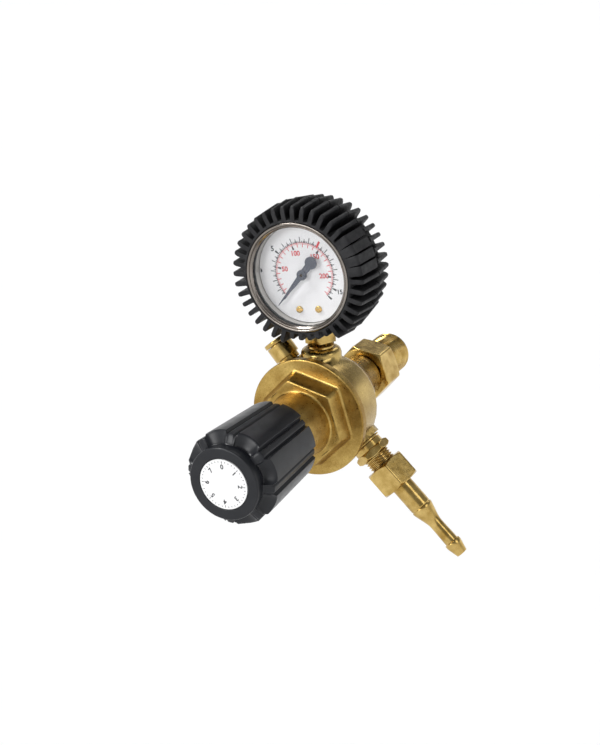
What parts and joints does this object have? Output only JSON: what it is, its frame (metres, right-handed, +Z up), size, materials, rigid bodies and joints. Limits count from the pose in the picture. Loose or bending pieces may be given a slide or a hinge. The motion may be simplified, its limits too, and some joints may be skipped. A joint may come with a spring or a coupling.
{
  "type": "propane regulator",
  "caption": "Single-stage gas regulator with an adjusting knob, a pressure gauge in a finned rubber boot, a relief valve, a threaded inlet nut and a hose tail.",
  "frame": {"origin": "centre of the inlet thread's end face, where the nut meets the cylinder valve", "axes": "+Y along the main axis from the adjusting knob to the inlet, +Z up to the gauge's centre, +X to the side on which the outlet points down"},
  "size_m": [0.1002, 0.1747, 0.1706],
  "materials": {
    "forged_brass": "grainy forged and tumbled",
    "turned_brass": "machined",
    "bronze": "drawn tube and sintered metal",
    "steel": "polished",
    "black_plastic": "moulded, half gloss",
    "rubber": "moulded, matt",
    "seal_rubber": "matt",
    "white_label": "printed film",
    "white_dial": "printed",
    "slate": "satin",
    "lens": "clear"
  },
  "bodies": {
    "regulator_body": {"body": "forged_brass", "bonnet": "forged_brass", "slip_ring": "steel", "diaphragm": "seal_rubber", "valve_nozzle": "turned_brass", "valve_retainer": "turned_brass", "valve_spring": "steel", "inlet_filter": "bronze", "inlet_stem": "turned_brass", "outlet_adapter": "turned_brass", "outlet_washer": "turned_brass", "relief_body": "turned_brass", "relief_cap": "turned_brass", "relief_spring": "steel", "gauge_stem": "turned_brass", "gauge_washer": "turned_brass", "gauge_case": "steel", "gauge_bezel": "steel", "gauge_lens": "lens", "lens_gasket": "seal_rubber", "gauge_dial": "white_dial", "dial_screw_left": "turned_brass", "dial_screw_right": "turned_brass", "movement_front_plate": "turned_brass", "movement_back_plate": "turned_brass", "bourdon_tube": "bronze", "tube_tip": "turned_brass", "blowout_plug": "seal_rubber", "gauge_boot": "rubber", "range_spring": "steel"},
    "thrust_button": {"spring_button": "turned_brass"},
    "knob": {"adjusting_knob": "black_plastic", "knob_label": "white_label", "adjusting_screw": "steel"},
    "valve_train": {"diaphragm_plate": "turned_brass", "plate_nut": "steel", "pusher": "turned_brass", "valve_pin": "steel", "valve_poppet": "turned_brass", "valve_seat_pad": "seal_rubber"},
    "relief_plunger": {"relief_poppet": "turned_brass", "relief_seal": "seal_rubber"},
    "pointer": {"gauge_pointer": "slate", "pointer_shaft": "turned_brass"},
    "sector": {"sector_gear": "turned_brass"},
    "link": {"gauge_link": "turned_brass"},
    "inlet_nut": {"inlet_nut": "turned_brass"},
    "hose_tail": {"hose_tail": "turned_brass"},
    "union_nut": {"union_nut": "turned_brass"}
  },
  "joints": [
    {"name": "screw_travel", "type": "slide", "parent": "regulator_body", "child": "thrust_button", "axis": [0, 1, 0], "range_m": [0, 0.0075], "deforming": ["range_spring"]},
    {"name": "knob_turn", "type": "hinge", "parent": "thrust_button", "child": "knob", "pos_m": [0, -0.15, 0], "axis": [0, 1, 0], "range_deg": [0, 1800]},
    {"name": "valve_lift", "type": "slide", "parent": "regulator_body", "child": "valve_train", "axis": [0, 1, 0], "range_m": [0, 0.0008], "stiffness_N_per_m": 4000, "deforming": ["diaphragm", "valve_spring"]},
    {"name": "relief_lift", "type": "slide", "parent": "regulator_body", "child": "relief_plunger", "axis": [-0.6018, 0, 0.7986], "range_m": [0, 0.001], "stiffness_N_per_m": 3000, "deforming": ["relief_spring"]},
    {"name": "pointer_spin", "type": "hinge", "parent": "regulator_body", "child": "pointer", "pos_m": [0, -0.09305, 0.0666], "axis": [0, 1, 0], "range_deg": [0, 270], "stiffness_Nm_per_rad": 0.004, "deforming": ["bourdon_tube", "tube_tip"]},
    {"name": "sector_swing", "type": "hinge", "parent": "regulator_body", "child": "sector", "pos_m": [0.00097, -0.08815, 0.05434], "axis": [0, 1, 0], "range_deg": [-33.76, 0]},
    {"name": "link_swing", "type": "hinge", "parent": "sector", "child": "link", "pos_m": [-0.00011, -0.0865, 0.04945], "axis": [0, 1, 0], "range_deg": [0, 33.76]},
    {"name": "inlet_nut_spin", "type": "hinge", "parent": "regulator_body", "child": "inlet_nut", "pos_m": [0, -0.02, 0], "axis": [0, 1, 0], "continuous": true},
    {"name": "union_travel", "type": "slide", "parent": "regulator_body", "child": "hose_tail", "axis": [0.6858, 0, -0.7278], "range_m": [0, 0.00535]},
    {"name": "union_turn", "type": "hinge", "parent": "hose_tail", "child": "union_nut", "pos_m": [0.03086, -0.075, -0.03275], "axis": [-0.6858, 0, 0.7278], "range_deg": [0, 1440]}
  ],
  "couplings": [
    {"joint": "knob_turn", "follows": "screw_travel", "rad_per_m": 4188.8},
    {"joint": "sector_swing", "follows": "pointer_spin", "ratio": -0.125},
    {"joint": "link_swing", "follows": "pointer_spin", "ratio": 0.125},
    {"joint": "union_turn", "follows": "union_travel", "rad_per_m": 4699.5}
  ]
}
